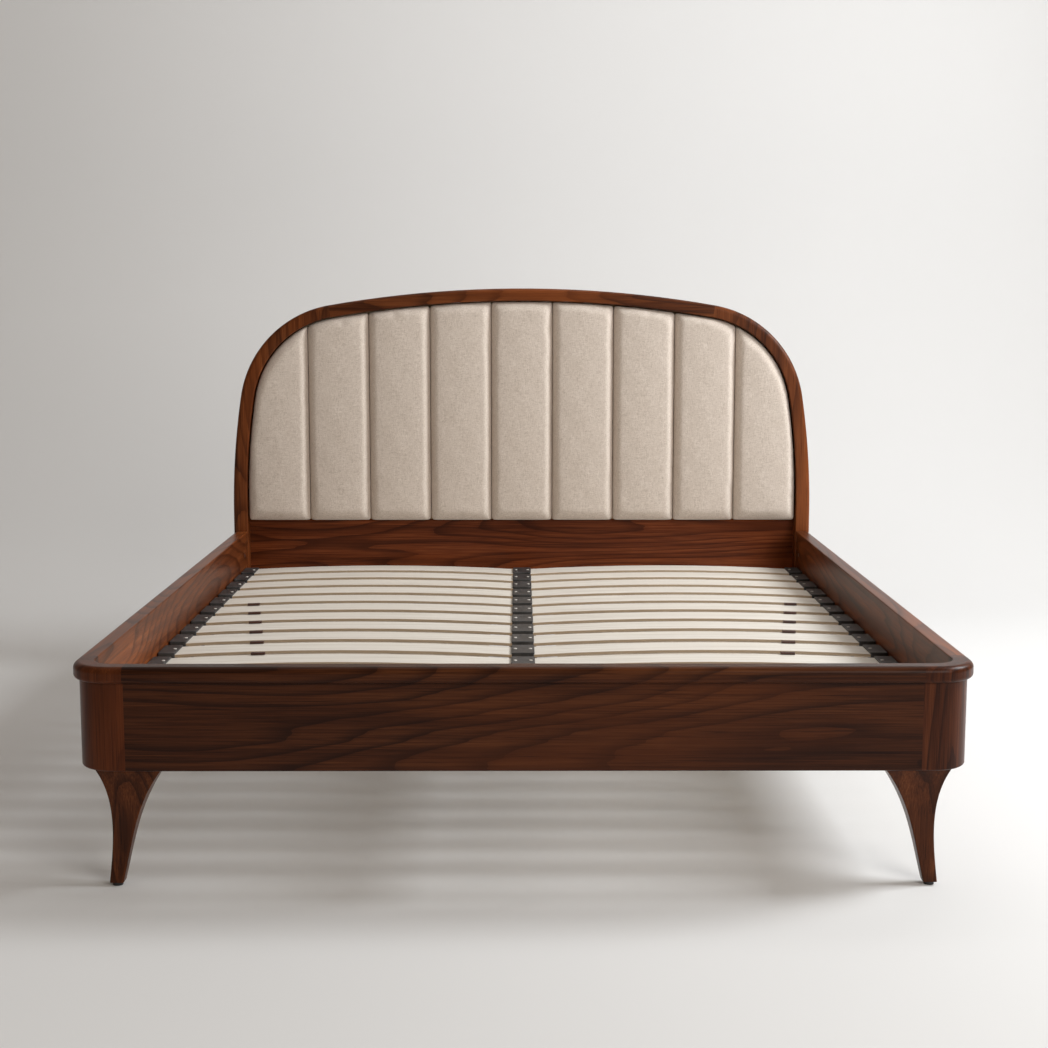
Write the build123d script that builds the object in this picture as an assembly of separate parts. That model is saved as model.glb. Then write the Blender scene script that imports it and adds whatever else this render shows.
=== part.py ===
from build123d import *
import math
import os

os.makedirs("parts", exist_ok=True)

# Wooden bed frame for a 1800 x 2000 mattress, in millimetres.
# X runs across the bed, +Y towards the head, +Z up.
# The origin is on the floor under the middle of the bed's outline.

# Driving dimensions
bed_width = 1904
bed_length = 2132
bed_height = 1288
half_width = bed_width / 2
foot_y = -bed_length / 2
head_y = bed_length / 2

# Legs and floor clearance
glide_height = 8
glide_radius = 11
centre_glide_radius = 22
rail_bottom = 268
leg_top_outer = 44
leg_top_inner = 192
leg_foot_outer = 65
leg_foot_inner = 95
leg_shoulder = (65, 206)
leg_waist = (72.7, 138)
leg_inner_low = (120, 122)
leg_inner_high = (141, 184)
leg_edge_radius = 4

# Rails and the rounded cap along their top
rail_thickness = 30
rail_height = 189
rail_edge_round = 1
rail_bottom_round = 5
rail_top = rail_bottom + rail_height
cap_width = 44
cap_thickness = 35
cap_overhang = 12
cap_top_round = 14
cap_bottom_round = 9
cap_inner_round = 3
cap_corner_radius = 92
cap_top = rail_top + cap_thickness
corner_piece_reach = 108
rail_outer_x = half_width - cap_overhang
rail_inner_x = rail_outer_x - rail_thickness
rail_corner_radius = cap_corner_radius - cap_overhang
foot_outer_y = foot_y + cap_overhang
foot_inner_y = foot_outer_y + rail_thickness
foot_seam_x = rail_outer_x - corner_piece_reach
side_seam_y = foot_outer_y + corner_piece_reach

# Arched headboard frame
frame_depth = 70
frame_front_y = head_y - frame_depth
frame_edge_radius = 13
frame_back_radius = 5
frame_inner_radius = 3
side_radius = 2430
side_sweep = 9.3
corner_radius = 357
corner_end_angle = 80.1
side_face = 46
crown_face = 40
inner_side_radius = 2140
inner_corner_radius = 315

# Headboard infill
panel_recess = 50
infill_front_y = frame_front_y + panel_recess
panel_thickness = 18
board_thickness = 12
cover_thickness = 3
upholstery_bottom = 528
channel_pitch = 200
channel_count = 9
pad_proud = 2
pad_clearance = 3
pad_gap = 0.6
pad_back_gap = 0.3
pad_edge_radius = 12

# Sprung slat base
slat_width = 95
slat_thickness = 8
slat_pitch = 138
row_count = 14
slat_rise = 13
slat_edge_radius = 1.5
slat_end_top = 372
slat_outer_x = 895
slat_inner_x = 7
slat_field_y = (foot_inner_y + infill_front_y) / 2
stiffener_rows = range(5, 11)
stiffener_thickness = 6
stiffener_length = 730
stiffener_gap = 0.2

# Plastic slat holders
holder_length = slat_width + 3
holder_plate = 3.5
holder_floor_play = 0.5
holder_top_play = 2.2
holder_corner_radius = 4
holder_top_radius = 1.5
slat_end_play = 2
outer_holder_x = 908
outer_holder_width = 44
centre_holder_width = 58
pocket_width = slat_width + 0.8
rivet_radius = 2
rivet_head_radius = 4.5
rivet_head_height = 1.4
rivet_clearance = 0.05
rivet_hole_length = 40
centre_rivet_x = 19
outer_rivet_x = 874

# Supports under the slat base
ledger_width = 40
ledger_height = 40
ledger_start_y = side_seam_y - 9
beam_width = 70
beam_height = 80
centre_leg_width = 50
bracket_thickness = 3
bracket_depth = 60
bracket_drop = 20
centre_leg_radius = 5

# Firmness sliders, one on each slat of the middle rows
slider_width = 34
slider_outer_x = 771
slider_row_step = 24
slider_track = (610, 780)
slider_play = 0.9
slider_wall = 3.2
slider_lip = 9
slider_rise = 5.5
slider_edge_radius = 1.6

# Fasteners
dowel_radius = 4
dowel_length = 40
fastener_heights = (rail_bottom + 40, rail_bottom + 150)
bolt_radius = 4
bolt_reach = 60
bolt_head_radius = 8
bolt_head_height = 6
bolt_head_round = 1.5
bolt_head_sunk = 1
barrel_radius = 7
barrel_length = 22
barrel_from_end = 40
leg_bolt_radius = 5
leg_bolt_length = 80
leg_block_height = 48
leg_block_reach = 190
fit_clearance = 0.05


def mirrored(shape):
    return mirror(shape, about=Plane.YZ)


def box_between(low, high):
    size = [b - a for a, b in zip(low, high)]
    middle = [(a + b) / 2 for a, b in zip(low, high)]
    return Pos(*middle) * Box(*size)


def group(shapes):
    return Compound(children=[solid for shape in shapes for solid in shape.solids()])


def save(name, shape):
    solids = shape.solids()
    result = solids[0] if len(solids) == 1 else Compound(children=list(solids))
    export_step(result, f"parts/{name}.step")


# Rails, corner pieces and cap

def u_path(outer_x, front_y, radius):
    """The line round the bed's outside: up one side, round the foot, down the other."""
    corner = radius * (1 - math.sqrt(0.5))
    start = (-outer_x, frame_front_y)
    left = (-outer_x, front_y + radius)
    left_mid = (-outer_x + corner, front_y + corner)
    left_foot = (-outer_x + radius, front_y)
    edges = [
        Line(start, left),
        ThreePointArc(left, left_mid, left_foot),
        Line(left_foot, (outer_x - radius, front_y)),
        ThreePointArc((outer_x - radius, front_y), (outer_x - corner, front_y + corner),
                      (outer_x, front_y + radius)),
        Line((outer_x, front_y + radius), (outer_x, frame_front_y)),
    ]
    return Wire(edges)


def swept_ring(outer_x, front_y, radius, width, low, high, top_round, bottom_round, inner_round):
    """A moulding that follows the U path, with its outer face on the path."""
    section = make_face(Polyline((0, low), (width, low), (width, high), (0, high), close=True))
    corners = section.vertices()
    outer_top = corners.sort_by(Axis.X)[:2].sort_by(Axis.Y)[-1]
    section = fillet(outer_top, top_round)
    outer_bottom = section.vertices().sort_by(Axis.Y)[:2].sort_by(Axis.X)[0]
    section = fillet(outer_bottom, bottom_round)
    inner_top = section.vertices().sort_by(Axis.Y)[-2:].sort_by(Axis.X)[-1]
    section = fillet(inner_top, inner_round)
    start = Plane(origin=(-outer_x, frame_front_y, 0), x_dir=(1, 0, 0), z_dir=(0, -1, 0))
    return sweep(start * section, path=u_path(outer_x, front_y, radius))


def cut_ring(ring):
    """Foot piece, right corner piece and right side piece of a U-shaped moulding."""
    reach = bed_length
    foot = ring & box_between((-foot_seam_x, -reach, 0), (foot_seam_x, 0, bed_height))
    corner = ring & box_between((foot_seam_x, -reach, 0), (reach, side_seam_y, bed_height))
    side = ring & box_between((foot_seam_x, side_seam_y, 0), (reach, reach, bed_height))
    return foot, corner, side


def dowel(centre, along):
    turn = Rot(0, 90, 0) if along == "X" else Rot(90, 0, 0)
    return Pos(*centre) * turn * Cylinder(dowel_radius, dowel_length)


def corner_dowels():
    """Dowels that join the right corner piece to the foot rail and the side rail."""
    wall_middle = rail_thickness / 2
    dowels = []
    for height in fastener_heights:
        dowels.append(dowel((foot_seam_x, foot_outer_y + wall_middle, height), "X"))
        dowels.append(dowel((rail_outer_x - wall_middle, side_seam_y, height), "Y"))
    return dowels


def dowel_holes():
    holes = []
    scale = (dowel_radius + fit_clearance) / dowel_radius
    for peg in corner_dowels():
        centre = peg.center()
        holes.append(Pos(*centre) * (Pos(*(-centre)) * peg).scale(scale))
    return holes


def build_rails():
    ring = swept_ring(rail_outer_x, foot_outer_y, rail_corner_radius, rail_thickness,
                      rail_bottom, rail_top,
                      rail_edge_round, rail_bottom_round, rail_edge_round)
    foot, corner, side = cut_ring(ring)
    for hole in dowel_holes():
        foot = foot - hole - mirrored(hole)
        corner = corner - hole
        side = side - hole
    for tool in bed_bolt_holes():
        side = side - tool
    save("foot_rail", foot)
    save("foot_corner_right", corner)
    save("foot_corner_left", mirrored(corner))
    save("side_rail_right", side)
    save("side_rail_left", mirrored(side))
    dowels = corner_dowels()
    save("corner_dowels", group(dowels + [mirrored(peg) for peg in dowels]))


def build_cap():
    ring = swept_ring(half_width, foot_y, cap_corner_radius, cap_width,
                      rail_top, cap_top, cap_top_round, cap_bottom_round, cap_inner_round)
    foot, corner, side = cut_ring(ring)
    save("foot_cap", foot)
    save("corner_cap_right", corner)
    save("corner_cap_left", mirrored(corner))
    save("side_cap_right", side)
    save("side_cap_left", mirrored(side))


# Headboard

def on_circle(centre, radius, degrees):
    angle = math.radians(degrees)
    return (centre[0] + radius * math.cos(angle), centre[1] + radius * math.sin(angle))


class Arch:
    """Three tangent arcs a side: long side arc, tight corner arc and shallow crown."""

    def __init__(self, half, top, side_r, corner_r):
        sweep_angle = math.radians(side_sweep)
        end_angle = math.radians(corner_end_angle)
        corner_x = half - side_r + (side_r - corner_r) * math.cos(sweep_angle)
        corner_rise = (side_r - corner_r) * math.sin(sweep_angle)
        reach = corner_x / math.cos(end_angle)
        self.crown_r = corner_r + reach
        rise = corner_rise - reach * math.sin(end_angle) + self.crown_r
        self.half = half
        self.top = top
        self.spring = top - rise
        self.side_r = side_r
        self.corner_r = corner_r
        self.side_centre = (half - side_r, self.spring)
        self.corner_centre = (corner_x, self.spring + corner_rise)

    def outline(self, bottom, depth_y):
        """Open wire from the bottom right, over the top, to the bottom left."""
        side_mid = on_circle(self.side_centre, self.side_r, side_sweep / 2)
        side_end = on_circle(self.side_centre, self.side_r, side_sweep)
        middle_angle = (side_sweep + corner_end_angle) / 2
        corner_mid = on_circle(self.corner_centre, self.corner_r, middle_angle)
        corner_end = on_circle(self.corner_centre, self.corner_r, corner_end_angle)

        def right(point):
            return (point[0], depth_y, point[1])

        def left(point):
            return (-point[0], depth_y, point[1])

        spring = (self.half, self.spring)
        foot = (self.half, bottom)
        edges = [Line(right(foot), right(spring)),
                 ThreePointArc(right(spring), right(side_mid), right(side_end)),
                 ThreePointArc(right(side_end), right(corner_mid), right(corner_end)),
                 ThreePointArc(right(corner_end), (0, depth_y, self.top), left(corner_end)),
                 ThreePointArc(left(corner_end), left(corner_mid), left(side_end)),
                 ThreePointArc(left(side_end), left(side_mid), left(spring)),
                 Line(left(spring), left(foot)),
                 Line(left(foot), right(foot))]
        return Wire(edges)

    def prism(self, bottom, front_y, back_y):
        face = Face(self.outline(bottom, front_y))
        return extrude(face, amount=back_y - front_y, dir=(0, 1, 0))


outer_arch = Arch(half_width, bed_height, side_radius, corner_radius)
inner_arch = Arch(half_width - side_face, bed_height - crown_face,
                  inner_side_radius, inner_corner_radius)
pad_arch = Arch(half_width - side_face - pad_clearance,
                bed_height - crown_face - pad_clearance,
                inner_side_radius, inner_corner_radius - pad_clearance)


def edges_along(shape, wire):
    """Edges of a shape whose middles lie on a wire, apart from the wire's flat bottom."""
    found = []
    for edge in shape.edges():
        middle = edge @ 0.5
        if middle.Z > rail_bottom + 1 and wire.distance_to(Vertex(middle)) < 0.01:
            found.append(edge)
    return found


def arch_ring():
    outer = outer_arch.prism(rail_bottom, frame_front_y, head_y)
    front_wire = outer_arch.outline(rail_bottom, frame_front_y)
    back_wire = outer_arch.outline(rail_bottom, head_y)
    outer = fillet(edges_along(outer, front_wire), frame_edge_radius)
    outer = fillet(edges_along(outer, back_wire), frame_back_radius)
    ring = outer - inner_arch.prism(rail_bottom - 1, frame_front_y - 1, head_y + 1)
    inner_wire = inner_arch.outline(rail_bottom, frame_front_y)
    return fillet(edges_along(ring, inner_wire), frame_inner_radius)


def build_headboard_frame():
    """The arch is laminated in five pieces, joined square across the rim."""
    ring = arch_ring()
    side_end = on_circle(outer_arch.side_centre, side_radius, side_sweep)
    corner_end = on_circle(outer_arch.corner_centre, corner_radius, corner_end_angle)
    joints = []
    for point, angle in ((side_end, side_sweep), (corner_end, corner_end_angle)):
        tangent = (-math.sin(math.radians(angle)), 0, math.cos(math.radians(angle)))
        joints.append(Plane(origin=(point[0], 0, point[1]), z_dir=tangent))
    right_half = split(ring, bisect_by=Plane.YZ, keep=Keep.TOP)
    post = split(right_half, bisect_by=joints[0], keep=Keep.BOTTOM)
    upper = split(right_half, bisect_by=joints[0], keep=Keep.TOP)
    bend = split(upper, bisect_by=joints[1], keep=Keep.BOTTOM)
    half_crown = split(upper, bisect_by=joints[1], keep=Keep.TOP)
    crown = half_crown + mirrored(half_crown)
    for tool in bed_bolt_holes():
        post = post - tool
    save("head_post_right", post)
    save("head_post_left", mirrored(post))
    save("head_bend_right", bend)
    save("head_bend_left", mirrored(bend))
    save("head_crown", crown)


def build_infill():
    inner_half = half_width - side_face
    panel = box_between((-inner_half, infill_front_y, rail_bottom),
                        (inner_half, infill_front_y + panel_thickness, upholstery_bottom))
    board_back = infill_front_y + board_thickness
    board = inner_arch.prism(upholstery_bottom, infill_front_y, board_back)
    cover = inner_arch.prism(upholstery_bottom, board_back, board_back + cover_thickness)
    save("lower_head_panel", panel)
    save("backing_board", board)
    save("back_cover", cover)


def build_channel_pads():
    front = frame_front_y - pad_proud
    body = pad_arch.prism(upholstery_bottom, front, infill_front_y - pad_back_gap)
    first_edge = -channel_count * channel_pitch / 2
    for number in range(channel_count):
        left = first_edge + number * channel_pitch + pad_gap / 2
        right = first_edge + (number + 1) * channel_pitch - pad_gap / 2
        if number == 0:
            left = -half_width
        if number == channel_count - 1:
            right = half_width
        strip = box_between((left, front - 1, 0), (right, head_y, bed_height))
        pad = body & strip
        front_edges = pad.edges().filter_by_position(Axis.Y, front - 0.1, front + 0.1)
        pad = fillet(front_edges, pad_edge_radius)
        save(f"channel_pad_{number + 1}", pad)


# Legs

def leg_profile():
    """Side view of a leg: distance in from the bed's corner against height."""
    outer = Spline((leg_top_outer, rail_bottom), leg_shoulder, leg_waist,
                   (leg_foot_outer, glide_height))
    inner = Spline((leg_foot_inner, glide_height), leg_inner_low, leg_inner_high,
                   (leg_top_inner, rail_bottom), tangents=((0.23, 1), (0.8, 1)))
    bottom = Line(outer @ 1, inner @ 0)
    top = Line(inner @ 1, outer @ 0)
    return make_face([outer, bottom, inner, top])


def corner_leg():
    """A leg at the corner X = 0, Y = 0, with the bed towards +X and +Y."""
    profile = leg_profile()
    along_y = extrude(Plane.XZ * profile, amount=-rail_bottom)
    along_x = extrude(Plane.YZ * profile, amount=rail_bottom)
    leg = along_x & along_y
    long_edges = [edge for edge in leg.edges() if edge.bounding_box().size.Z > rail_bottom / 2]
    return fillet(long_edges, leg_edge_radius)


def at_corners(front, rear):
    """Copies of a corner shape at front left, front right, rear left and rear right."""
    front_left = Pos(-half_width, foot_y, 0) * front
    rear_left = mirror(Pos(-half_width, foot_y, 0) * rear, about=Plane.XZ)
    return front_left, mirrored(front_left), rear_left, mirrored(rear_left)


def build_legs():
    middle_top = (leg_top_outer + leg_top_inner) / 2
    middle_foot = (leg_foot_outer + leg_foot_inner) / 2
    bolt = Pos(middle_top, middle_top, rail_bottom) * Cylinder(leg_bolt_radius, leg_bolt_length)
    hole_radius = leg_bolt_radius + fit_clearance
    hole = Pos(middle_top, middle_top, rail_bottom) * Cylinder(hole_radius, leg_bolt_length + 2)
    leg = corner_leg() - hole
    names = ("front_leg_left", "front_leg_right", "rear_leg_left", "rear_leg_right")
    for name, shape in zip(names, at_corners(leg, leg)):
        save(name, shape)

    glide = Pos(middle_foot, middle_foot, glide_height / 2) * Cylinder(glide_radius, glide_height)
    centre_glide = Pos(0, 0, glide_height / 2) * Cylinder(centre_glide_radius, glide_height)
    save("leg_glides", group(list(at_corners(glide, glide)) + [centre_glide]))
    save("leg_bolts", group(at_corners(bolt, bolt)))

    front_start = cap_overhang + rail_thickness
    top = rail_bottom + leg_block_height
    far_corner = (leg_block_reach, leg_block_reach, top)
    front_block = box_between((front_start, front_start, rail_bottom), far_corner)
    corner_edge = front_block.edges().filter_by(Axis.Z).sort_by(Axis.X)[:2].sort_by(Axis.Y)[0]
    inside_radius = rail_corner_radius - rail_thickness + 1
    front_block = fillet(corner_edge, inside_radius) - hole
    panel_start = head_y - infill_front_y
    rear_block = box_between((side_face, panel_start, rail_bottom), far_corner) - hole
    save("leg_mount_blocks", group(at_corners(front_block, rear_block)))


# Slat base

slat_span = slat_outer_x - slat_inner_x
slat_middle_x = (slat_outer_x + slat_inner_x) / 2
slat_radius = (slat_span ** 2 / 4 + slat_rise ** 2) / (2 * slat_rise)
slat_crown_z = slat_end_top + slat_rise
holder_base_z = slat_end_top - slat_thickness - holder_floor_play - holder_plate
holder_top_z = slat_end_top + holder_top_play + holder_plate


def row_y(row):
    """Centre line of a slat row, counted from the head."""
    return slat_field_y + ((row_count - 1) / 2 - row) * slat_pitch


def slat_top(x):
    offset = x - slat_middle_x
    return slat_crown_z - slat_radius + math.sqrt(slat_radius ** 2 - offset ** 2)


def bowed_strip(start_x, end_x, drop, thickness, width):
    """A slat bent to the common curve, its top face `drop` below the slats' tops."""
    centre_z = slat_crown_z - slat_radius
    top_r = slat_radius - drop
    start_angle = math.degrees(math.asin((start_x - slat_middle_x) / top_r))
    end_angle = math.degrees(math.asin((end_x - slat_middle_x) / top_r))
    crown = Plane(origin=(slat_middle_x, 0, centre_z + top_r - thickness / 2),
                  x_dir=(0, 1, 0), z_dir=(1, 0, 0))
    section = crown * RectangleRounded(width, thickness, slat_edge_radius)
    axis = Axis((slat_middle_x, 0, centre_z), (0, 1, 0))
    section = section.rotate(axis, start_angle)
    return revolve(section, axis=axis, revolution_arc=end_angle - start_angle)


def rivet(x):
    shank_length = holder_top_z - holder_base_z
    shank = Pos(x, 0, (holder_top_z + holder_base_z) / 2) * Cylinder(rivet_radius, shank_length)
    head = Pos(x, 0, holder_top_z + rivet_head_height / 2) * Cylinder(rivet_head_radius,
                                                                      rivet_head_height)
    head = fillet(head.edges().sort_by(Axis.Z)[-1], 1)
    return shank + head


def rivet_hole(x):
    middle = (holder_top_z + holder_base_z) / 2
    return Pos(x, 0, middle) * Cylinder(rivet_radius + rivet_clearance, rivet_hole_length)


def holder(start_x, end_x, pockets):
    """A plastic holder block with one pocket for each slat end that it takes."""
    half_length = holder_length / 2
    block = box_between((start_x, -half_length, holder_base_z), (end_x, half_length, holder_top_z))
    block = fillet(block.edges().filter_by(Axis.Z), holder_corner_radius)
    block = fillet(block.faces().sort_by(Axis.Z)[-1].edges(), holder_top_radius)
    floor_z = holder_base_z + holder_plate
    ceiling_z = holder_top_z - holder_plate
    for pocket_start, pocket_end in pockets:
        block -= box_between((pocket_start, -pocket_width / 2, floor_z),
                             (pocket_end, pocket_width / 2, ceiling_z))
    return block


def at_rows(shape, rows):
    return [Pos(0, row_y(row), 0) * shape for row in rows]


def build_slats():
    rows = range(row_count)
    slat = bowed_strip(slat_inner_x, slat_outer_x, 0, slat_thickness, slat_width)
    slat = slat - rivet_hole(centre_rivet_x) - rivet_hole(outer_rivet_x)
    save("slats_right", group(at_rows(slat, rows)))
    save("slats_left", group(at_rows(mirrored(slat), rows)))

    drop = slat_thickness + stiffener_gap
    stiffener = bowed_strip(slat_middle_x - stiffener_length / 2,
                            slat_middle_x + stiffener_length / 2,
                            drop, stiffener_thickness, slat_width)
    both = [stiffener, mirrored(stiffener)]
    save("stiffener_slats", group([s for part in both for s in at_rows(part, stiffener_rows)]))


def build_holders():
    rows = range(row_count)
    inner_edge = outer_holder_x - outer_holder_width
    outer = holder(inner_edge, outer_holder_x, [(inner_edge - 1, slat_outer_x + slat_end_play)])
    outer = outer - rivet_hole(outer_rivet_x)
    save("outer_holders", group(at_rows(outer, rows) + at_rows(mirrored(outer), rows)))

    half = centre_holder_width / 2
    web = slat_inner_x - slat_end_play
    centre = holder(-half, half, [(web, half + 1), (-half - 1, -web)])
    centre = centre - rivet_hole(centre_rivet_x) - rivet_hole(-centre_rivet_x)
    save("centre_holders", group(at_rows(centre, rows)))

    rivets = [rivet(x) for x in (centre_rivet_x, outer_rivet_x)]
    rivets += [mirrored(shape) for shape in rivets]
    save("holder_rivets", group([s for shape in rivets for s in at_rows(shape, rows)]))


def build_supports():
    top = holder_base_z
    ledger = box_between((rail_inner_x - ledger_width, ledger_start_y, top - ledger_height),
                         (rail_inner_x, frame_front_y, top))
    save("side_ledger_right", ledger)
    save("side_ledger_left", mirrored(ledger))

    half = beam_width / 2
    beam_start = foot_inner_y + bracket_thickness
    beam_end = infill_front_y - bracket_thickness
    beam_low = top - beam_height
    save("centre_beam", box_between((-half, beam_start, beam_low), (half, beam_end, top)))

    outer_half = half + bracket_thickness
    shell = box_between((-outer_half, foot_inner_y, beam_low - bracket_thickness),
                        (outer_half, foot_inner_y + bracket_depth, top - bracket_drop))
    hollow = box_between((-half, beam_start, beam_low), (half, 0, bed_height))
    foot_bracket = shell - hollow
    turn = Pos(0, foot_inner_y + infill_front_y, 0) * Rot(0, 0, 180)
    save("beam_brackets", group([foot_bracket, turn * foot_bracket]))

    leg_half = centre_leg_width / 2
    leg = box_between((-leg_half, -leg_half, glide_height), (leg_half, leg_half, beam_low))
    save("centre_leg", fillet(leg.edges().filter_by(Axis.Z), centre_leg_radius))


# Firmness sliders

track_middle = sum(slider_track) / 2
track_tilt = math.degrees(math.asin((track_middle - slat_middle_x) / slat_radius))


def slider_clip():
    """A C-shaped clip round the head-side edge of a slat and its stiffener.

    It is drawn at the middle of its track, with its length along X."""
    edge_y = slat_width / 2
    stack = slat_thickness + stiffener_gap + stiffener_thickness
    half = slider_width / 2
    outer = box_between((-half, edge_y - slider_lip, -stack - slider_play - slider_wall),
                        (half, edge_y + slider_play + slider_wall, slider_play + slider_rise))
    outer = fillet(outer.edges().filter_by(Axis.X), slider_edge_radius)
    pocket = box_between((-half - 1, 0, -stack - slider_play),
                         (half + 1, edge_y + slider_play, slider_play))
    clip = outer - pocket
    height = slat_top(track_middle)
    return Pos(track_middle, 0, height) * Rot(0, track_tilt, 0) * clip


def build_sliders():
    clip = slider_clip()
    slope = math.tan(math.radians(track_tilt))
    for number, row in enumerate(stiffener_rows, start=1):
        x = slider_outer_x - slider_row_step * (number - 1)
        shift = x - track_middle
        placed = Pos(shift, row_y(row), -slope * shift) * clip
        save(f"slider_right_{number}", placed)
        save(f"slider_left_{number}", mirrored(placed))


# Bolts between the head posts and the side rails

def bolt_axis_x():
    return rail_outer_x - rail_thickness / 2


def y_cylinder(radius, start_y, end_y, height):
    middle = (start_y + end_y) / 2
    return Pos(bolt_axis_x(), middle, height) * Rot(90, 0, 0) * Cylinder(radius, end_y - start_y)


def barrel(radius, length, height):
    middle_x = rail_inner_x + length / 2
    return Pos(middle_x, frame_front_y - barrel_from_end, height) * Rot(0, 90, 0) * Cylinder(
        radius, length)


def bed_bolt_holes():
    tools = []
    end = frame_front_y - bolt_reach
    for height in fastener_heights:
        tools.append(y_cylinder(bolt_radius + fit_clearance, end - 1, head_y + 1, height))
        tools.append(y_cylinder(bolt_head_radius + 1, head_y - bolt_head_height - 1,
                                head_y + 1, height))
        tools.append(barrel(barrel_radius + fit_clearance, barrel_length, height))
    return tools


def build_bed_bolts():
    bolts = []
    nuts = []
    for height in fastener_heights:
        head_back = head_y - bolt_head_sunk
        head_front = head_back - bolt_head_height
        shank = y_cylinder(bolt_radius, frame_front_y - bolt_reach, head_front, height)
        head = y_cylinder(bolt_head_radius, head_front, head_back, height)
        bolt = shank + fillet(head.edges().sort_by(Axis.Y)[-1], bolt_head_round)
        bolts += [bolt, mirrored(bolt)]
        bore = y_cylinder(bolt_radius + fit_clearance, 0, head_y, height)
        nut = barrel(barrel_radius, barrel_length, height) - bore
        nuts += [nut, mirrored(nut)]
    save("bed_bolts", group(bolts))
    save("barrel_nuts", group(nuts))


build_rails()
build_cap()
build_headboard_frame()
build_infill()
build_channel_pads()
build_legs()
build_slats()
build_holders()
build_supports()
build_sliders()
build_bed_bolts()
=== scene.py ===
import math

import bmesh
import bpy
import numpy as np
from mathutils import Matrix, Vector


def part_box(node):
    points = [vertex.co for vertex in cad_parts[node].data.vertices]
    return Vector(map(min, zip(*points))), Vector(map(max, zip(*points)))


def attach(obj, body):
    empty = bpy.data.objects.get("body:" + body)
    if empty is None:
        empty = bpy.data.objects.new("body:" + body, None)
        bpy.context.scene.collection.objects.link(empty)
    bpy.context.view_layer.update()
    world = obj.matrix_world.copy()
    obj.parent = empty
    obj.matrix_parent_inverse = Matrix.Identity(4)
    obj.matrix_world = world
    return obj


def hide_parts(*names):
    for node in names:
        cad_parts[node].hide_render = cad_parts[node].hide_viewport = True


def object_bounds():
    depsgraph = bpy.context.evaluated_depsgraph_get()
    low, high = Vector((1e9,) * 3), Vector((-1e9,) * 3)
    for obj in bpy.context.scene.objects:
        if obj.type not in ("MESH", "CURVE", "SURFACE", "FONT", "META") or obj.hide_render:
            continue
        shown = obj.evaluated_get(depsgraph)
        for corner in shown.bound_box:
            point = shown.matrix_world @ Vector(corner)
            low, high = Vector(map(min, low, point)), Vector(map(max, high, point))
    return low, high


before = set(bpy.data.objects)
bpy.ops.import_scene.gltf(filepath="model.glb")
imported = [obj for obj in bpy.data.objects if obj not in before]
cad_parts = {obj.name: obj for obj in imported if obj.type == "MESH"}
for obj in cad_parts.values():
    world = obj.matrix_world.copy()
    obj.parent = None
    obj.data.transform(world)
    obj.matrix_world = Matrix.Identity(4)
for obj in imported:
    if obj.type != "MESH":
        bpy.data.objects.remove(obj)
cad_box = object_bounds()
BODY = "bed_frame"
PAD_COUNT = 9
SLIDERS_PER_SIDE = 6


# Node helpers

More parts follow.
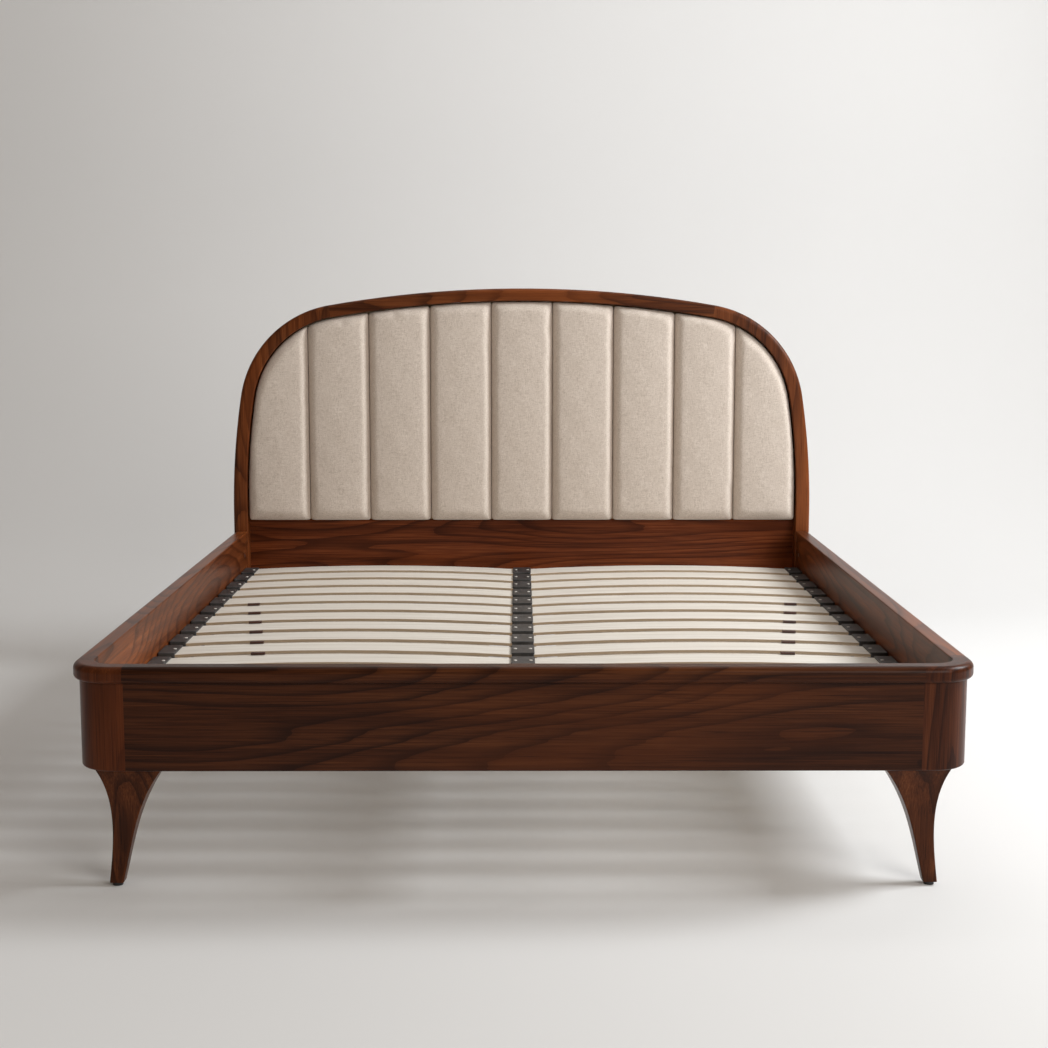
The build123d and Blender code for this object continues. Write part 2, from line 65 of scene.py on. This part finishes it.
class Graph:
    """A material's node tree, with short calls for the nodes used below."""

    def __init__(self, name):
        self.material = bpy.data.materials.new(name)
        self.material.use_nodes = True
        self.tree = self.material.node_tree
        self.shader = self.tree.nodes["Principled BSDF"]

    def node(self, kind, **settings):
        made = self.tree.nodes.new(kind)
        for key, value in settings.items():
            setattr(made, key, value)
        return made

    def put(self, socket, value):
        if hasattr(value, "is_output"):
            self.tree.links.new(value, socket)
        else:
            socket.default_value = value

    def place(self):
        return self.node("ShaderNodeTexCoord").outputs["Object"]

    def stretch(self, vector, scale, offset=(0, 0, 0)):
        made = self.node("ShaderNodeMapping")
        self.put(made.inputs["Vector"], vector)
        self.put(made.inputs["Location"], offset)
        self.put(made.inputs["Scale"], scale)
        return made.outputs["Vector"]

    def noise(self, vector, scale, detail=3.0, roughness=0.5, distortion=0.0):
        made = self.node("ShaderNodeTexNoise")
        self.put(made.inputs["Vector"], vector)
        self.put(made.inputs["Scale"], scale)
        self.put(made.inputs["Detail"], detail)
        self.put(made.inputs["Roughness"], roughness)
        self.put(made.inputs["Distortion"], distortion)
        return made.outputs["Fac"]

    def math(self, operation, a, b=0.0):
        made = self.node("ShaderNodeMath", operation=operation)
        self.put(made.inputs[0], a)
        self.put(made.inputs[1], b)
        return made.outputs["Value"]

    def ramp(self, value, stops):
        made = self.node("ShaderNodeValToRGB")
        self.put(made.inputs["Fac"], value)
        band = made.color_ramp
        while len(band.elements) < len(stops):
            band.elements.new(0.5)
        for element, (position, colour) in zip(band.elements, stops):
            element.position = position
            element.color = (*colour, 1.0)
        return made.outputs["Color"]

    def mix(self, factor, a, b, blend="MIX"):
        made = self.node("ShaderNodeMix", data_type="RGBA", blend_type=blend)
        self.put(made.inputs["Factor"], factor)
        self.put(made.inputs["A"], a if hasattr(a, "is_output") else (*a, 1.0))
        self.put(made.inputs["B"], b if hasattr(b, "is_output") else (*b, 1.0))
        return made.outputs["Result"]

    def grey(self, value, low_value, high_value):
        made = self.node("ShaderNodeMapRange")
        self.put(made.inputs["Value"], value)
        self.put(made.inputs["To Min"], low_value)
        self.put(made.inputs["To Max"], high_value)
        return made.outputs["Result"]

    def bump(self, height, distance, strength=1.0):
        made = self.node("ShaderNodeBump")
        self.put(made.inputs["Height"], height)
        self.put(made.inputs["Distance"], distance)
        self.put(made.inputs["Strength"], strength)
        self.put(self.shader.inputs["Normal"], made.outputs["Normal"])

    def facing(self, axis):
        """How much the surface faces along an axis of the bed, without sign."""
        geometry = self.node("ShaderNodeNewGeometry")
        split = self.node("ShaderNodeSeparateXYZ")
        self.put(split.inputs[0], geometry.outputs["Normal"])
        return self.math("ABSOLUTE", split.outputs[axis])

    def finish(self, colour, roughness, **sockets):
        self.put(self.shader.inputs["Base Color"], colour)
        self.put(self.shader.inputs["Roughness"], roughness)
        for key, value in sockets.items():
            self.put(self.shader.inputs[key.replace("_", " ")], value)
        return self.material


# Materials

GRAIN_SCALE = {"X": (0.16, 1.0, 1.0), "Y": (1.0, 0.16, 1.0), "Z": (1.0, 1.0, 0.16)}
FIBRE_SCALE = 0.015
RING_COUNT = 26.0


def grain_coordinates(graph, axis, offset):
    return graph.stretch(graph.place(), GRAIN_SCALE[axis], offset)


def fibres(graph, axis, offset):
    """Very long thin streaks along the grain."""
    scale = tuple(1.0 if value == 1.0 else FIBRE_SCALE for value in GRAIN_SCALE[axis])
    return graph.stretch(graph.place(), scale, offset)


def walnut(name, axis, offset, tone=1.0, red=1.0):
    """Oiled walnut: growth rings bent round knots, with fibres, soft blotches and pores."""
    graph = Graph(name)
    wood = grain_coordinates(graph, axis, offset)
    cells = graph.node("ShaderNodeTexVoronoi", feature="SMOOTH_F1")
    graph.put(cells.inputs["Vector"], wood)
    graph.put(cells.inputs["Scale"], 2.6)
    knot = graph.ramp(cells.outputs["Distance"], [(0.0, (1, 1, 1)), (0.11, (0, 0, 0))])
    field = graph.noise(wood, 3.4, detail=1.5, roughness=0.4, distortion=0.15)
    field = graph.math("ADD", field, graph.math("MULTIPLY", knot, 0.22))
    wobble = graph.noise(fibres(graph, axis, offset), 30.0, detail=2.0)
    field = graph.math("ADD", field, graph.math("MULTIPLY", wobble, 0.035))
    ring = graph.math("FRACT", graph.math("MULTIPLY", field, RING_COUNT))
    late_wood = graph.ramp(ring, [(0.0, (0.35, 0.35, 0.35)), (0.12, (0, 0, 0)),
                                  (0.62, (0.18, 0.18, 0.18)), (0.95, (1, 1, 1))])
    streak = graph.noise(fibres(graph, axis, offset), 330.0, detail=4.0, roughness=0.65)
    broad = graph.noise(fibres(graph, axis, offset), 42.0, detail=3.0)
    blotch = graph.noise(wood, 7.0, detail=3.0)
    figure = graph.math("ADD", graph.math("MULTIPLY", streak, 0.42),
                        graph.math("MULTIPLY", broad, 0.34))
    figure = graph.math("ADD", figure, graph.math("MULTIPLY", blotch, 0.24))
    # tone and red scale all colours; paint_frame uses them per part as painted light and shade
    dark = (0.020 * tone * red, 0.0048 * tone, 0.0016 * tone)
    middle = (0.092 * tone * red, 0.025 * tone, 0.0072 * tone)
    light = (0.190 * tone * red, 0.060 * tone, 0.0190 * tone)
    colour = graph.ramp(figure, [(0.34, dark), (0.50, middle), (0.66, light)])
    colour = graph.mix(graph.math("MULTIPLY", late_wood, 0.75), colour, dark)
    warm = (0.190 * tone * red, 0.046 * tone, 0.009 * tone)
    glow = graph.ramp(blotch, [(0.50, (0, 0, 0)), (0.72, (1, 1, 1))])
    colour = graph.mix(graph.math("MULTIPLY", glow, 0.45), colour, warm)
    colour = graph.mix(graph.math("MULTIPLY", knot, 0.75), colour, (0.012, 0.0040, 0.0022))
    pore_field = graph.noise(fibres(graph, axis, (3.1, 1.7, 2.3)), 620.0, detail=1.0)
    pores = graph.ramp(pore_field, [(0.60, (0, 0, 0)), (0.70, (1, 1, 1))])
    colour = graph.mix(graph.math("MULTIPLY", pores, 0.5), colour, dark)
    graph.bump(graph.math("SUBTRACT", graph.math("MULTIPLY", streak, 0.3), pores), 0.00012, 0.4)
    roughness = graph.grey(streak, 0.26, 0.40)
    return graph.finish(colour, roughness, Specular_IOR_Level=0.14)


def pale_wood(name, axis, base, deep):
    """Planed light timber with soft straight figure."""
    graph = Graph(name)
    offset = (0, 0, 0)
    streak = graph.noise(fibres(graph, axis, offset), 120.0, detail=4.0, roughness=0.55)
    wood = grain_coordinates(graph, axis, offset)
    field = graph.noise(wood, 5.0, detail=2.0, distortion=0.2)
    wave = graph.math("SINE", graph.math("MULTIPLY", field, 60.0))
    figure = graph.math("ADD", graph.math("MULTIPLY", streak, 0.7), graph.grey(wave, 0.0, 0.16))
    colour = graph.ramp(figure, [(0.30, deep), (0.62, base)])
    graph.bump(streak, 0.0002, 0.4)
    return graph.finish(colour, 0.5)


def slat_birch():
    """Birch slat: grey-cream faces with faint figure, tan laminated edges."""
    graph = Graph("slat_birch")
    place = graph.place()
    streak = graph.noise(fibres(graph, "X", (0, 0, 0)), 150.0, detail=4.0)
    cloud = graph.noise(graph.stretch(place, (0.5, 2.0, 1.0)), 5.0, detail=2.0)
    face = graph.ramp(streak, [(0.30, (0.62, 0.56, 0.475)), (0.58, (0.80, 0.75, 0.67))])
    face = graph.mix(graph.grey(cloud, 0.0, 0.5), face, (0.75, 0.735, 0.71))
    layers = graph.node("ShaderNodeTexWave", bands_direction="Z")
    graph.put(layers.inputs["Vector"], place)
    graph.put(layers.inputs["Scale"], 110.0)
    edge = graph.ramp(layers.outputs["Fac"], [(0.2, (0.34, 0.24, 0.15)), (0.8, (0.58, 0.46, 0.33))])
    upward = graph.ramp(graph.facing("Z"), [(0.45, (0, 0, 0)), (0.75, (1, 1, 1))])
    colour = graph.mix(upward, edge, face)
    graph.bump(streak, 0.0001, 0.3)
    return graph.finish(colour, graph.grey(streak, 0.45, 0.6), Specular_IOR_Level=0.3)


def linen():
    """Oatmeal linen: fine plain weave with light and dark yarns and a soft sheen."""
    graph = Graph("linen_upholstery")
    place = graph.place()
    thread = 0.0016
    frequency = math.pi / thread
    split = graph.node("ShaderNodeSeparateXYZ")
    wobble = graph.noise(place, 60.0, detail=2.0)
    graph.put(split.inputs[0], place)
    shift = graph.math("MULTIPLY", wobble, 2.2)
    across = graph.math("ADD", graph.math("MULTIPLY", split.outputs["X"], frequency), shift)
    up = graph.math("ADD", graph.math("MULTIPLY", split.outputs["Z"], frequency), shift)
    weave = graph.math("MULTIPLY", graph.math("SINE", across), graph.math("SINE", up))
    yarn_x = graph.noise(graph.stretch(place, (1.0, 1.0, 0.12)), 560.0, detail=1.0)
    yarn_z = graph.noise(graph.stretch(place, (0.12, 1.0, 1.0)), 560.0, detail=1.0)
    speckle = graph.noise(place, 420.0, detail=2.0, roughness=0.6)
    yarn = graph.math("ADD", graph.math("MULTIPLY", yarn_x, 0.5), graph.math("MULTIPLY", yarn_z, 0.5))
    tone = graph.math("ADD", graph.math("MULTIPLY", yarn, 0.55), graph.math("MULTIPLY", speckle, 0.45))
    colour = graph.ramp(tone, [(0.34, (0.50, 0.42, 0.355)), (0.50, (0.69, 0.60, 0.525)),
                               (0.66, (0.82, 0.74, 0.665))])
    shade = graph.grey(weave, 0.0, 0.22)
    colour = graph.mix(shade, colour, (0.38, 0.32, 0.265))
    height = graph.math("ADD", graph.math("MULTIPLY", weave, -0.5), yarn)
    graph.bump(height, 0.0004, 0.5)
    return graph.finish(colour, 0.92, Sheen_Weight=0.25, Sheen_Roughness=0.5,
                        Specular_IOR_Level=0.25)


def lining_cloth():
    graph = Graph("back_cloth")
    place = graph.place()
    fuzz = graph.noise(place, 700.0, detail=2.0)
    wide = graph.noise(place, 9.0, detail=3.0)
    tone = graph.math("ADD", graph.math("MULTIPLY", fuzz, 0.6), graph.math("MULTIPLY", wide, 0.4))
    colour = graph.ramp(tone, [(0.35, (0.030, 0.027, 0.024)), (0.65, (0.075, 0.068, 0.060))])
    graph.bump(fuzz, 0.0003, 0.6)
    return graph.finish(colour, 0.95, Sheen_Weight=0.2)


def plastic(name, dark, light, roughness, grain=900.0):
    """Moulded plastic with fine spark texture and slightly worn, lighter patches."""
    graph = Graph(name)
    place = graph.place()
    fine = graph.noise(place, grain, detail=2.0)
    patch = graph.noise(place, 30.0, detail=3.0)
    colour = graph.ramp(graph.math("ADD", graph.math("MULTIPLY", fine, 0.35),
                                   graph.math("MULTIPLY", patch, 0.65)),
                        [(0.35, dark), (0.65, light)])
    graph.bump(fine, 0.00008, 0.5)
    return graph.finish(colour, graph.grey(patch, roughness - 0.07, roughness + 0.07))


def steel():
    graph = Graph("steel")
    brushed = graph.noise(graph.stretch(graph.place(), (1.0, 0.05, 1.0)), 900.0, detail=2.0)
    colour = graph.ramp(brushed, [(0.3, (0.42, 0.42, 0.43)), (0.7, (0.62, 0.62, 0.63))])
    graph.bump(brushed, 0.00005, 0.4)
    return graph.finish(colour, graph.grey(brushed, 0.25, 0.42), Metallic=1.0)


def studio(name, light, deep, roughness):
    graph = Graph(name)
    cloud = graph.noise(graph.place(), 0.35, detail=2.0)
    colour = graph.ramp(cloud, [(0.3, deep), (0.7, light)])
    return graph.finish(colour, roughness, Specular_IOR_Level=0.2)


# Which finish each CAD node gets

def paint(node, material):
    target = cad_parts[node]
    target.data.materials.clear()
    target.data.materials.append(material)


def paint_frame():
    # Painted light and shade: one walnut, copied with tone and red factors part by part to match how
    # brightly each part is lit. The foot rail, foot cap, foot corners and corner caps are darkened as
    # painted shade; the side rails, side caps, posts, bends, crown and lower panel are lightened as
    # painted light.
    across = walnut("walnut_foot_rail", "X", (0.0, 0.3, 0.15), tone=0.62)
    for node in ("foot_rail", "foot_cap"):
        paint(node, across)
    along = walnut("walnut_side_rail", "Y", (0.6, 0.0, 0.4), tone=1.6)
    for side in ("left", "right"):
        for node in (f"side_rail_{side}", f"side_cap_{side}"):
            paint(node, along)
    upright = walnut("walnut_upright", "Z", (0.2, 0.9, 0.0), tone=0.68, red=1.1)
    for side in ("left", "right"):
        for node in (f"foot_corner_{side}", f"corner_cap_{side}"):
            paint(node, upright)
    leg = walnut("walnut_leg", "Z", (0.5, 0.1, 0.7), tone=0.95)
    for node in ("front_leg_left", "front_leg_right", "rear_leg_left", "rear_leg_right"):
        paint(node, leg)
    post = walnut("walnut_post", "Z", (0.1, 0.4, 0.3), tone=1.35)
    for side in ("left", "right"):
        paint(f"head_post_{side}", post)
        paint(f"head_bend_{side}", post)
    paint("head_crown", walnut("walnut_crown", "X", (0.7, 0.2, 0.5), tone=1.35))
    paint("lower_head_panel", walnut("walnut_panel", "X", (0.35, 0.1, 0.9), tone=1.5, red=1.15))


def paint_base():
    birch = slat_birch()
    for node in ("slats_left", "slats_right", "stiffener_slats"):
        paint(node, birch)
    holder = plastic("holder_plastic", (0.020, 0.021, 0.022), (0.060, 0.061, 0.064), 0.42)
    for node in ("outer_holders", "centre_holders"):
        paint(node, holder)
    paint("holder_rivets", plastic("rivet_plastic", (0.52, 0.50, 0.46), (0.74, 0.72, 0.68), 0.35))
    slider = plastic("slider_plastic", (0.030, 0.009, 0.005), (0.075, 0.024, 0.012), 0.4)
    for side in ("left", "right"):
        for number in range(1, SLIDERS_PER_SIDE + 1):
            paint(f"slider_{side}_{number}", slider)
    spruce_y = pale_wood("spruce_along", "Y", (0.62, 0.44, 0.26), (0.42, 0.27, 0.14))
    for node in ("side_ledger_left", "side_ledger_right", "centre_beam", "corner_dowels"):
        paint(node, spruce_y)
    spruce_z = pale_wood("spruce_upright", "Z", (0.60, 0.43, 0.26), (0.40, 0.26, 0.14))
    for node in ("centre_leg", "leg_mount_blocks"):
        paint(node, spruce_z)
    paint("backing_board", pale_wood("plywood", "X", (0.60, 0.45, 0.28), (0.44, 0.30, 0.17)))
    paint("back_cover", lining_cloth())
    paint("leg_glides", plastic("glide_plastic", (0.006, 0.006, 0.006), (0.022, 0.022, 0.022), 0.5))
    metal = steel()
    for node in ("bed_bolts", "barrel_nuts", "leg_bolts", "beam_brackets"):
        paint(node, metal)


# Upholstered channels

VOXEL = 0.006
SWELL_LIMIT = 0.011
SIM_FRAMES = 20
START_THICKNESS = 0.72
SEAM_DEPTH = 0.010
SEAM_WIDTH = 0.010
CROWN_HEIGHT = 0.006
RIPPLE_HEIGHT = 0.0005


def copy_of_node(node, name):
    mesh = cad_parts[node].data.copy()
    mesh.name = name
    mesh.materials.clear()
    piece = bpy.data.objects.new(name, mesh)
    bpy.context.scene.collection.objects.link(piece)
    return piece


def apply_modifiers(piece):
    graph = bpy.context.evaluated_depsgraph_get()
    mesh = bpy.data.meshes.new_from_object(piece.evaluated_get(graph))
    old = piece.data
    piece.modifiers.clear()
    piece.data = mesh
    bpy.data.meshes.remove(old)


def points_of(piece):
    flat = np.empty(len(piece.data.vertices) * 3)
    piece.data.vertices.foreach_get("co", flat)
    return flat.reshape(-1, 3)


def set_points(piece, points):
    piece.data.vertices.foreach_set("co", points.ravel())
    piece.data.update()


def remesh(piece, voxel):
    modifier = piece.modifiers.new("remesh", "REMESH")
    modifier.mode = "VOXEL"
    modifier.voxel_size = voxel
    apply_modifiers(piece)


def inflate(piece):
    """Swells the closed pad with cloth pressure, as foam fills a sewn cover."""
    cloth = piece.modifiers.new("cloth", "CLOTH")
    settings = cloth.settings
    settings.quality = 4
    settings.mass = 0.3
    settings.use_pressure = True
    settings.uniform_pressure_force = 4.0
    settings.tension_stiffness = 30.0
    settings.compression_stiffness = 30.0
    settings.shear_stiffness = 15.0
    settings.bending_stiffness = 2.0
    settings.effector_weights.gravity = 0.0
    cloth.point_cache.frame_start = 1
    cloth.point_cache.frame_end = SIM_FRAMES
    scene = bpy.context.scene
    for step in range(1, SIM_FRAMES + 1):
        scene.frame_set(step)
    apply_modifiers(piece)
    scene.frame_set(1)


def shape_pad(piece, node):
    """Foam channel: drawn thin, then swollen forward by the cloth. Its seam sides stay put."""
    corner_low, corner_high = (np.array(corner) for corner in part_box(node))
    points = points_of(piece)
    back = corner_high[1]
    points[:, 1] = back - (back - points[:, 1]) * START_THICKNESS
    set_points(piece, points)
    remesh(piece, VOXEL)
    before = points_of(piece)
    inflate(piece)
    swell = np.clip(points_of(piece)[:, 1] - before[:, 1], -SWELL_LIMIT, 0.0)
    points = before.copy()
    points[:, 0] = np.clip(points[:, 0], corner_low[0], corner_high[0])
    points[:, 1] = np.minimum(points[:, 1] + swell, back)
    points[:, 2] = np.clip(points[:, 2], corner_low[2], corner_high[2])
    set_points(piece, points)


def crown_pad(piece, node, is_first, is_last):
    """Pulls the cover back along each seam and rounds it forward between seams."""
    corner_low, corner_high = (np.array(corner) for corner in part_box(node))
    points = points_of(piece)
    depth = corner_high[1] - corner_low[1]
    front_share = np.clip((corner_high[1] - points[:, 1]) / depth, 0.0, 1.0)
    pull = np.zeros(len(points))
    if not is_first:
        pull += np.exp(-((points[:, 0] - corner_low[0]) / SEAM_WIDTH) ** 2)
    if not is_last:
        pull += np.exp(-((points[:, 0] - corner_high[0]) / SEAM_WIDTH) ** 2)
    middle = (corner_low[0] + corner_high[0]) / 2
    half = (corner_high[0] - corner_low[0]) / 2
    crown = 1.0 - ((points[:, 0] - middle) / half) ** 2
    points[:, 1] += front_share * (pull * SEAM_DEPTH - crown * CROWN_HEIGHT)
    ripple = np.sin(points[:, 2] * 38.0 + middle * 17.0) * np.cos(points[:, 0] * 61.0)
    points[:, 1] += front_share * RIPPLE_HEIGHT * ripple
    set_points(piece, points)


def smooth(piece, rounds):
    modifier = piece.modifiers.new("smooth", "SMOOTH")
    modifier.factor = 0.5
    modifier.iterations = rounds
    apply_modifiers(piece)


def subdivide(piece):
    modifier = piece.modifiers.new("subdivision", "SUBSURF")
    modifier.levels = 1
    modifier.render_levels = 1
    apply_modifiers(piece)


def make_pads(cloth):
    for number in range(1, PAD_COUNT + 1):
        node = f"channel_pad_{number}"
        pad = copy_of_node(node, f"channel_cushion_{number}")
        shape_pad(pad, node)
        smooth(pad, 4)
        crown_pad(pad, node, number == 1, number == PAD_COUNT)
        smooth(pad, 2)
        subdivide(pad)
        pad.data.materials.append(cloth)
        pad.data.polygons.foreach_set("use_smooth", [True] * len(pad.data.polygons))
        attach(pad, BODY)
        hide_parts(node)


# Studio

def make_backdrop():
    """One sheet: level floor that bends up into a wall behind the bed."""
    front, back, height, bend, half = -9.0, 4.2, 7.0, 2.0, 11.0
    profile = [(front, 0.0)]
    steps = 16
    for step in range(steps + 1):
        angle = math.pi / 2 * step / steps
        profile.append((back - bend + bend * math.sin(angle), bend - bend * math.cos(angle)))
    profile.append((back, height))
    shell = bmesh.new()
    rows = [[shell.verts.new((x, y, z)) for y, z in profile] for x in (-half, half)]
    for left, right, left_next, right_next in zip(rows[0], rows[1], rows[0][1:], rows[1][1:]):
        shell.faces.new((left, right, right_next, left_next))
    mesh = bpy.data.meshes.new("backdrop")
    shell.to_mesh(mesh)
    shell.free()
    mesh.polygons.foreach_set("use_smooth", [True] * len(mesh.polygons))
    mesh.materials.append(studio("studio_paper", (0.80, 0.80, 0.80), (0.77, 0.77, 0.77), 0.85))
    backdrop = bpy.data.objects.new("backdrop", mesh)
    bpy.context.scene.collection.objects.link(backdrop)


def area_light(name, place, target, size, power, colour=(1, 1, 1)):
    data = bpy.data.lights.new(name, "AREA")
    data.shape = "RECTANGLE"
    data.size, data.size_y = size
    data.energy = power
    data.color = colour
    lamp = bpy.data.objects.new(name, data)
    lamp.location = place
    lamp.rotation_euler = (Vector(target) - Vector(place)).to_track_quat("-Z", "Y").to_euler()
    bpy.context.scene.collection.objects.link(lamp)


def make_lights():
    bed = (0.0, 0.3, 0.4)
    area_light("key", (4.0, -0.3, 3.4), bed, (1.8, 1.8), 215, (0.95, 0.98, 1.0))
    area_light("fill", (3.0, -5.0, 2.6), (0.0, 0.0, 0.6), (3.0, 2.5), 120, (1.0, 0.97, 0.93))
    area_light("top", (0.0, 0.4, 4.6), (0.0, 0.4, 0.0), (4.0, 4.0), 22)
    area_light("wall_wash", (1.6, 1.5, 5.0), (1.0, 4.2, 1.5), (4.5, 1.5), 45)
    world = bpy.data.worlds.new("studio_world")
    world.use_nodes = True
    background = world.node_tree.nodes["Background"]
    background.inputs["Color"].default_value = (1.0, 0.82, 0.64, 1.0)
    background.inputs["Strength"].default_value = 0.19
    bpy.context.scene.world = world


def make_camera():
    data = bpy.data.cameras.new("camera")
    data.sensor_width = 36.0
    data.lens = 56.5
    camera = bpy.data.objects.new("camera", data)
    distance = 3.327
    pitch_down = 7.587
    yaw = 0.195
    camera.location = (-0.011, cad_box[0][1] - distance, 1.2347)
    camera.rotation_euler = (math.radians(90 - pitch_down), 0.0, math.radians(-yaw))
    bpy.context.scene.collection.objects.link(camera)
    bpy.context.scene.camera = camera


make_camera()
paint_frame()
paint_base()
make_pads(linen())
make_backdrop()
make_lights()
bpy.context.scene.view_settings.view_transform = "Standard"
